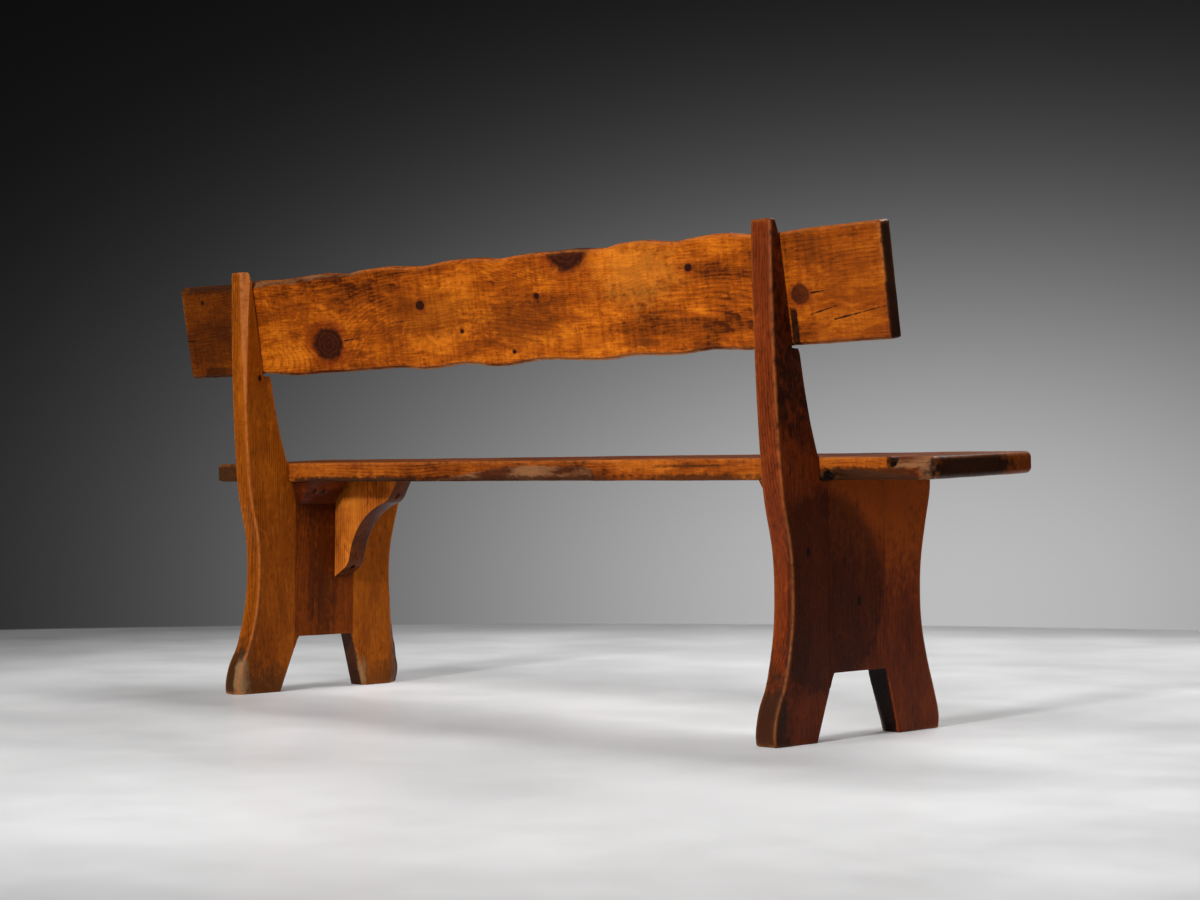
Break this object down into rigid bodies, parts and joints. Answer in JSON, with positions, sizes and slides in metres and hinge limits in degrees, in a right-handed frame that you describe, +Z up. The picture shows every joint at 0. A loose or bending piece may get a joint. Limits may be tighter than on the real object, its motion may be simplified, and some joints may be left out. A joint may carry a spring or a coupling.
{
  "type": "bench",
  "caption": "Long wooden bench: waisted board end panels with arched feet, a tilted seat plank on curved corbels, and a leaning wavy-edged back plank notched into the rear posts.",
  "frame": {"origin": "on the floor under the middle of the bench, halfway between its two ends and between the fronts and backs of its feet", "axes": "+X along the bench to the sitter's left, +Y from the seat's front to the back plank, +Z up"},
  "size_m": [1.766, 0.4356, 0.82],
  "materials": {
    "seat_pine": "stained and varnished pine, worn at the edges",
    "back_pine": "stained and varnished pine with bark-side edges",
    "panel_pine": "stained and varnished pine boards, glued edge to edge",
    "block_pine": "stained and varnished pine",
    "peg_wood": "plain hardwood",
    "screw_steel": "dark oiled steel"
  },
  "bodies": {
    "root": {"back_plank": "back_pine", "left_corbel": "block_pine", "left_corbel_panel_screw": "screw_steel", "left_corbel_seat_screw": "screw_steel", "left_front_board": "panel_pine", "left_front_cleat": "block_pine", "left_front_cleat_screw_1": "screw_steel", "left_front_cleat_screw_2": "screw_steel", "left_front_cleat_seat_screw": "screw_steel", "left_front_seam_dowel_1": "peg_wood", "left_front_seam_dowel_2": "peg_wood", "left_front_seam_dowel_3": "peg_wood", "left_middle_board": "panel_pine", "left_plank_plug_1": "peg_wood", "left_plank_plug_2": "peg_wood", "left_plank_screw_1": "screw_steel", "left_plank_screw_2": "screw_steel", "left_rear_board": "panel_pine", "left_rear_cleat": "block_pine", "left_rear_cleat_screw_1": "screw_steel", "left_rear_cleat_screw_2": "screw_steel", "left_rear_cleat_seat_screw": "screw_steel", "left_rear_seam_dowel_1": "peg_wood", "left_rear_seam_dowel_2": "peg_wood", "left_rear_seam_dowel_3": "peg_wood", "right_corbel": "block_pine", "right_corbel_panel_screw": "screw_steel", "right_corbel_seat_screw": "screw_steel", "right_front_board": "panel_pine", "right_front_cleat": "block_pine", "right_front_cleat_screw_1": "screw_steel", "right_front_cleat_screw_2": "screw_steel", "right_front_cleat_seat_screw": "screw_steel", "right_front_seam_dowel_1": "peg_wood", "right_front_seam_dowel_2": "peg_wood", "right_front_seam_dowel_3": "peg_wood", "right_middle_board": "panel_pine", "right_plank_plug_1": "peg_wood", "right_plank_plug_2": "peg_wood", "right_plank_screw_1": "screw_steel", "right_plank_screw_2": "screw_steel", "right_rear_board": "panel_pine", "right_rear_cleat": "block_pine", "right_rear_cleat_screw_1": "screw_steel", "right_rear_cleat_screw_2": "screw_steel", "right_rear_cleat_seat_screw": "screw_steel", "right_rear_seam_dowel_1": "peg_wood", "right_rear_seam_dowel_2": "peg_wood", "right_rear_seam_dowel_3": "peg_wood", "seat": "seat_pine"}
  },
  "joints": []
}
